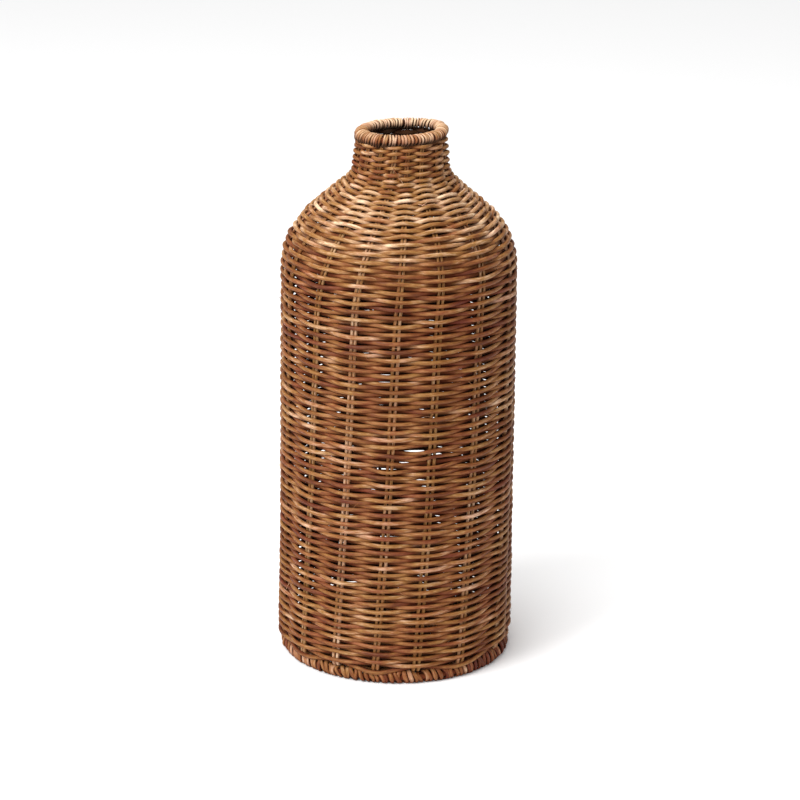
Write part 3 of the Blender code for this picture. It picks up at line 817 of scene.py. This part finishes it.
def makeWall(weave):
    sizes = weave.sizes
    lean = np.abs(wallWay[:, 0])
    onFace = wallLengths > heelEnd + sizes["faceFrom"]
    atShoulder = np.argmax((lean > sizes["shoulderLean"]) & onFace)
    atNeck = np.argmax((lean < sizes["neckLean"]) & (wallLine[:, 0] < sizes["neckWithin"]) & onFace)
    marks = (-sizes["overrun"], weave.passAt(wallLengths[atShoulder]),
             weave.passAt(wallLengths[atNeck]), weave.passes + sizes["overrun"])
    for (zone, strands, seed), start, end in zip(sizes["zones"], marks, marks[1:]):
        for index in range(strands):
            first = nearestOdd(start + (end - start) * index / strands)
            last = nearestOdd(start + (end - start) * (index + 1) / strands)
            makePiece(f"{zone}Strand{index + 1:02d}", [weave.strand(first, last, seed + index)],
                      strandCane, [f"{zone}_weaver_{index + 1:02d}"])
        print(zone, "strands made:", strands)


wallWeave = Weave(weaveSizes)
print("rows in the wall:", wallWeave.turns)
makeWall(wallWeave)


# Base: a coiled eye and a strand woven round it, under and over the stakes

baseSizes = {
    "seed": 21, "strandDiameter": 0.0030, "hue": 0.35, "sides": 12,
    "eyeStart": 0.0022, "eyeEnd": 0.0341, "eyePitch": 0.00325, "eyeSamples": 48, "eyeTone": 0.5,
    "eyeDrifts": ((20, 0.0003), (15, 0.05), (20, 0.15), (40, 0.2)),  # height, thickness, tone, hue
    "firstRadius": 0.0380, "lastRadius": 0.0888, "pitch": 0.0035, "over": 0.0030,
    "samplesPerPass": 12, "strandTone": 0.46,
    "strandDrifts": ((30, 0.0002), (60, 0.05), (50, 0.16), (90, 0.25)),
}


def makeBaseStrand(name, node, rng, path, drifts, tone):
    # a strand along the path's angles, radii and heights over the base's level
    angle, radius, over = path
    rises, swells, tones, hues = (drift(rng, len(angle), *each) for each in drifts)
    centres = placed(angle, radius, wallSizes["baseLevel"] + over + rises)
    thickness = baseSizes["strandDiameter"] * (1 + swells)
    strand = sweep(centres, placed(angle, 0.0, 1.0), thickness, thickness, baseSizes["sides"],
                   tone=tone + tones, hue=baseSizes["hue"] + hues)
    makePiece(name, [strand], baseCane, [node])


def makeBase(sizes):
    rng = np.random.default_rng(sizes["seed"])
    turns = (sizes["eyeEnd"] - sizes["eyeStart"]) / sizes["eyePitch"]
    turn = np.linspace(0, turns, int(turns * sizes["eyeSamples"]))
    path = (2 * np.pi * turn, sizes["eyeStart"] + sizes["eyePitch"] * turn, 0.0)
    makeBaseStrand("baseEyeCoil", "base_eye_coil", rng, path, sizes["eyeDrifts"], sizes["eyeTone"])
    pairs = stakeSizes["pairs"]
    passes = int(pairs * (sizes["lastRadius"] - sizes["firstRadius"]) / sizes["pitch"])
    number = np.linspace(0, passes, passes * sizes["samplesPerPass"])
    path = (pairAngle(number, wallSizes["baseLevel"]),
            sizes["firstRadius"] + sizes["pitch"] * number / pairs,
            sizes["over"] * np.cos(np.pi * number))
    makeBaseStrand("baseStrand", "base_weaver", rng, path, sizes["strandDrifts"], sizes["strandTone"])


makeBase(baseSizes)
print("base made")


# Rings: a hoop wound all round with a strip of cane

ringSizes = {
    "coreSamples": 240, "coreSides": 20, "coreInset": 0.9,
    "coreTone": 0.2, "coreHue": 0.4, "coreShade": 0.5,
    "flatten": 0.5, "sides": 12, "overlap": 0.2, "toneDrift": (300, 0.08), "hueDrift": (60, 0.35),
    "chances": {  # from wrap to wrap: the spread, and the limits that it is kept within
        "slip": (1.0, -9, 9), "bulge": (0.5, -0.7, 1), "leanSpread": (1.0, -9, 9),
        "droop": (0.6, -0.3, 1), "uneven": (0.6, -1.2, 1.2), "toneSpread": (1.0, -9, 9),
        "swingSpread": (1.0, -9, 9)},
    "slantAt": 0.0, "slant": 0.0, "shadeAt": 0.0, "swing": 0.0,
    "crestAt": 0.0, "crest": 0.0, "crestSpread": 20.0, "betweenPairs": 0.0, "pairRoom": 1.0,
    "droop": 0.0, "slump": 0.0, "slumpAt": 0.0,
}
rimSizes = {
    **ringSizes,
    "name": "rim", "seed": 31, "radius": 0.0335, "middle": 0.45365,
    "halfWidth": 0.0054, "halfHeight": 0.00465,
    "warps": (  # degrees round, wider, higher, degrees it spreads
        (118.0, 0.0010, 0.0006, 30.0), (88.0, -0.0004, 0.0017, 50.0),
        (-80.0, 0.0, -0.0012, 45.0), (180.0, 0.0, -0.0009, 60.0)),
    "slantAt": -75.0, "slant": 0.0016,
    "wraps": 86, "samples": 28, "stripThickness": 0.0023, "fill": 0.80, "uneven": 0.16,
    "tuck": 0.36, "lowerShade": 0.85, "lowerShadeFrom": 0.55, "groove": 0.85, "shade": 0.15,
    "swingSpread": 0.0002, "slip": 0.00034, "bulge": 0.0007, "lean": 0.0013, "leanSpread": 0.0005,
    "droop": 0.0012, "slump": 0.0018, "slumpAt": -62.0,
    "tone": 0.80, "toneSpread": 0.12, "palest": 1.0, "hue": 0.3,
}
footSizes = {
    **ringSizes,
    "name": "foot", "seed": 41, "radius": 0.0948, "middle": 0.0048,
    "halfWidth": 0.0042, "halfHeight": 0.0048,
    "warps": ((-75.0, -0.0011, 0.0, 40.0),),
    "wraps": 145, "samples": 24, "stripThickness": 0.0026, "fill": 0.84, "uneven": 0.2,
    "tuck": 0.28, "lowerShade": 0.50, "lowerShadeFrom": 0.1, "groove": 0.75, "shadeAt": 50.0, "shade": 0.16,
    "swing": 0.0024, "swingSpread": 0.0010, "slip": 0.00060, "bulge": 0.0009,
    "lean": 0.0012, "leanSpread": 0.0008,
    "crestAt": 58.0, "crest": 0.0026, "betweenPairs": 0.0017, "pairRoom": 3.5,
    "tone": 0.50, "toneSpread": 0.22, "palest": 0.82, "hue": 0.55,
}


def warped(sizes, angle):
    # how far out and how high the ring's middle is there, out of round and out of level
    radius, height = np.full_like(angle, sizes["radius"]), np.full_like(angle, sizes["middle"])
    for degrees, wider, higher, spread in sizes["warps"]:
        share = nearTo(angle, degrees, spread)
        radius += wider * share
        height += higher * share
    return radius, height


def makeCore(sizes):
    angle = np.arange(sizes["coreSamples"]) / sizes["coreSamples"] * 2 * np.pi
    radius, middle = warped(sizes, angle)
    inset = sizes["stripThickness"] * sizes["coreInset"]
    coreHeight, coreWidth = (2 * (sizes[half] - inset) for half in ("halfHeight", "halfWidth"))
    # painted shade darkens the hoop under its lashing
    core = sweep(placed(angle, radius, middle), placed(angle, 1.0, 0.0), coreHeight, coreWidth,
                 sizes["coreSides"], closed=True, tone=sizes["coreTone"], hue=sizes["coreHue"],
                 extraShade=sizes["coreShade"])
    makePiece(f"{sizes['name']}Core", [core], coreCane, [f"{sizes['name']}_hoop"])


def crestAt(sizes, angle):
    # how far the loops bulge up: most in one place, and between the pairs of stakes
    pairs = np.arange(-stakeSizes["pairs"], 2 * stakeSizes["pairs"] + 1)
    atPairs = pairAngle(pairs, wallSizes["baseLevel"])
    between = np.sin(np.pi * np.interp(angle, atPairs, pairs)) ** 2
    return (sizes["crest"] * nearTo(angle, sizes["crestAt"], sizes["crestSpread"])
            + sizes["betweenPairs"] * np.minimum(between * sizes["pairRoom"], 1))


def makeWrapping(sizes):
    rng = np.random.default_rng(sizes["seed"])
    wraps, thickness = sizes["wraps"], sizes["stripThickness"]
    count = wraps * sizes["samples"] + 1
    wrap = np.arange(count) / sizes["samples"]
    knots = np.arange(0, wraps + 2, 0.5)
    varied = {key: sizes[key] * eased(
        wrap, knots, np.clip(rng.normal(0, spread, len(knots)), least, most))
        for key, (spread, least, most) in sizes["chances"].items()}
    section = 2 * np.pi * wrap
    outer, upper = np.cos(section), np.sin(section)
    lean = sizes["lean"] + varied["leanSpread"]
    swing = sizes["swing"] + varied["swingSpread"]
    aside = varied["slip"] + lean * outer - swing * upper
    angle = 2 * np.pi * wrap / (wraps + sizes["overlap"]) + np.pi + aside / sizes["radius"]
    radius, middle = warped(sizes, angle)
    across = (sizes["halfWidth"] - thickness / 2 + varied["bulge"]) * outer
    across -= sizes["slant"] * upper * onSide(angle, sizes["slantAt"])
    low = varied["droop"] + sizes["slump"] * onSide(angle, sizes["slumpAt"]) ** 2
    more = np.where(upper > 0, varied["bulge"] + crestAt(sizes, angle), low)
    high = (sizes["halfHeight"] - thickness / 2 + more) * upper
    centres = placed(angle, radius + across, middle + high)
    outward = unit(placed(angle, outer / sizes["halfWidth"], upper / sizes["halfHeight"]))
    spacing = 2 * np.pi * (radius + across) / wraps
    tuck = 1 - sizes["tuck"] * np.clip(-upper, 0, 1)
    width = spacing * sizes["fill"] * (1 + varied["uneven"]) * tuck
    # painted shade: the ring darker on one side and paler on the far side, as the light falls
    shade = sizes["shade"] * np.cos(angle - math.radians(sizes["shadeAt"]))
    tone = sizes["tone"] - shade + varied["toneSpread"] + drift(rng, count, *sizes["toneDrift"])
    hue = sizes["hue"] + drift(rng, count, *sizes["hueDrift"])
    # painted shade: the loops darker on their lower half and on the side that faces in
    strip = sweep(centres, outward, width, thickness, sizes["sides"], sizes["flatten"],
                  tone=np.minimum(tone, sizes["palest"]), hue=hue,
                  extraShade=sizes["lowerShade"] * np.clip(sizes["lowerShadeFrom"] - upper, 0, 1),
                  groove=sizes["groove"])
    makePiece(f"{sizes['name']}Wrapping", [strip], lashingCane, [f"{sizes['name']}_lashing"])


for ring in (rimSizes, footSizes):
    makeCore(ring)
    makeWrapping(ring)
print("rings made")


# Frayed fibres: split ends that stand off the weave here and there

fibreSizes = {
    "seed": 61, "count": 70, "firstSeed": 1000, "radius": 0.00022, "steps": 12, "sides": 6,
    "heights": (0.02, 0.44), "lengths": (0.004, 0.012), "ways": (-60, 60), "curls": (-0.9, 0.9),
    "standOff": 0.0043, "rise": 0.0022, "riseShares": (0.3, 1.0), "taper": 0.75,
    "tones": (0.4, 0.9), "hues": (0.1, 0.8),
    "firstSplitSeed": 900, "splitRadius": 0.0004,
    "splitEnds": (  # degrees round, height, length, way in degrees from level, curl
        (-9.0, 0.4330, 0.013, -70.0, 0.35),
        (-3.0, 0.4250, 0.010, -55.0, -0.4),
        (14.0, 0.4030, 0.014, -20.0, 0.5),
        (17.0, 0.4015, 0.012, 35.0, -0.3),
        (-66.0, 0.0620, 0.018, 50.0, 0.15)),
}


def makeFibre(sizes, thickest, seed, degrees, height, length, way, curl):
    rng = np.random.default_rng(seed)
    share = np.linspace(0, 1, sizes["steps"])
    start = lengthAtHeight(height)
    radius = wallAt(start)[0]
    heading = math.radians(way) + curl * share
    along = np.cumsum(np.cos(heading)) * length / sizes["steps"]
    climb = np.cumsum(np.sin(heading)) * length / sizes["steps"]
    outset = sizes["standOff"] + sizes["rise"] * share * share * rng.uniform(*sizes["riseShares"])
    centres, outward = onWall(start + climb, math.radians(degrees) + along / radius, outset)
    thickness = 2 * thickest * (1 - sizes["taper"] * share)
    return sweep(centres, outward, thickness, thickness, sizes["sides"],
                 tone=rng.uniform(*sizes["tones"]), hue=rng.uniform(*sizes["hues"]))


def makeFibres(sizes):
    rng = np.random.default_rng(sizes["seed"])
    fibres = [makeFibre(sizes, sizes["splitRadius"], sizes["firstSplitSeed"] + index, *end)
              for index, end in enumerate(sizes["splitEnds"])]
    for index in range(sizes["count"]):
        degrees = rng.uniform(-180, 180)
        height = rng.uniform(*sizes["heights"])
        length = rng.uniform(*sizes["lengths"])
        way = rng.uniform(*sizes["ways"]) + rng.choice([0, 180])
        curl = rng.uniform(*sizes["curls"])
        fibres.append(makeFibre(sizes, sizes["radius"], sizes["firstSeed"] + index,
                                degrees, height, length, way, curl))
    makePiece("frayedFibres", fibres, fibreCane, [])


makeFibres(fibreSizes)
print("frayed fibres made")


# Studio: pale floor, soft light, and the camera

studioSizes = {
    "floorSize": 60.0, "floorColour": (250, 250, 250), "floorRoughness": 0.9, "floorSpecular": 0.1,
    "skyStrength": 0.52,
    "sunWay": (0.36, 0.85, -0.85), "sunAngle": 50.0, "sunStrength": 1.5,
    "keyPlace": (-1.6, -1.3, 2.2), "keySize": 1.1, "keyPower": 50.0,
    "topPlace": (-0.3, 0.2, 2.3), "topSize": 1.4, "topPower": 24.0,
    "target": (0.0, 0.0, 0.25),
}
cameraSizes = {
    "place": (0.0022, -2.4843, 1.036), "down": 18.18, "roll": 0.9,
    "focalPixels": 3075.0, "framePixels": 800.0, "sensor": 36.0,
}


def makeFloor(sizes):
    half = sizes["floorSize"] / 2
    corners = [(-half, -half, 0), (half, -half, 0), (half, half, 0), (-half, half, 0)]
    mesh = bpy.data.meshes.new("studioFloor")
    mesh.from_pydata(corners, [], [(0, 1, 2, 3)])
    material = bpy.data.materials.new("paleFloor")
    material.use_nodes = True
    feed(material.node_tree, material.node_tree.nodes["Principled BSDF"].inputs, {
        "Base Color": linear(sizes["floorColour"]), "Roughness": sizes["floorRoughness"],
        "Specular IOR Level": sizes["floorSpecular"]})
    mesh.materials.append(material)
    addObject("studioFloor", mesh)


def hang(name, light, place, way):
    holder = addObject(name, light)
    holder.location = place
    holder.rotation_euler = Vector(way).to_track_quat("-Z", "Y").to_euler()


def makeLights(sizes):
    for name in ("key", "top"):
        light = bpy.data.lights.new(f"{name}Light", "AREA")
        light.size = sizes[f"{name}Size"]
        light.energy = sizes[f"{name}Power"]
        place = sizes[f"{name}Place"]
        hang(f"{name}Light", light, place, Vector(sizes["target"]) - Vector(place))
    sun = bpy.data.lights.new("evenLight", "SUN")
    sun.energy = sizes["sunStrength"]
    sun.angle = math.radians(sizes["sunAngle"])
    hang("evenLight", sun, (0, 0, 0), sizes["sunWay"])


def makeSky(sizes):
    sky = bpy.data.worlds.new("studioSky")
    sky.use_nodes = True
    feed(sky.node_tree, sky.node_tree.nodes["Background"].inputs, {
        "Color": (1, 1, 1, 1), "Strength": sizes["skyStrength"]})
    bpy.context.scene.world = sky
    bpy.context.scene.view_settings.view_transform = "Standard"


def makeCamera(sizes):
    lens = bpy.data.cameras.new("photoCamera")
    lens.sensor_width = sizes["sensor"]
    lens.lens = sizes["focalPixels"] * sizes["sensor"] / sizes["framePixels"]
    camera = addObject("photoCamera", lens)
    camera.matrix_world = (Matrix.Translation(sizes["place"])
                           @ Matrix.Rotation(math.radians(90 - sizes["down"]), 4, "X")
                           @ Matrix.Rotation(math.radians(sizes["roll"]), 4, "Z"))
    bpy.context.scene.camera = camera


makeFloor(studioSizes)
makeLights(studioSizes)
makeSky(studioSizes)
makeCamera(cameraSizes)
print("studio ready")
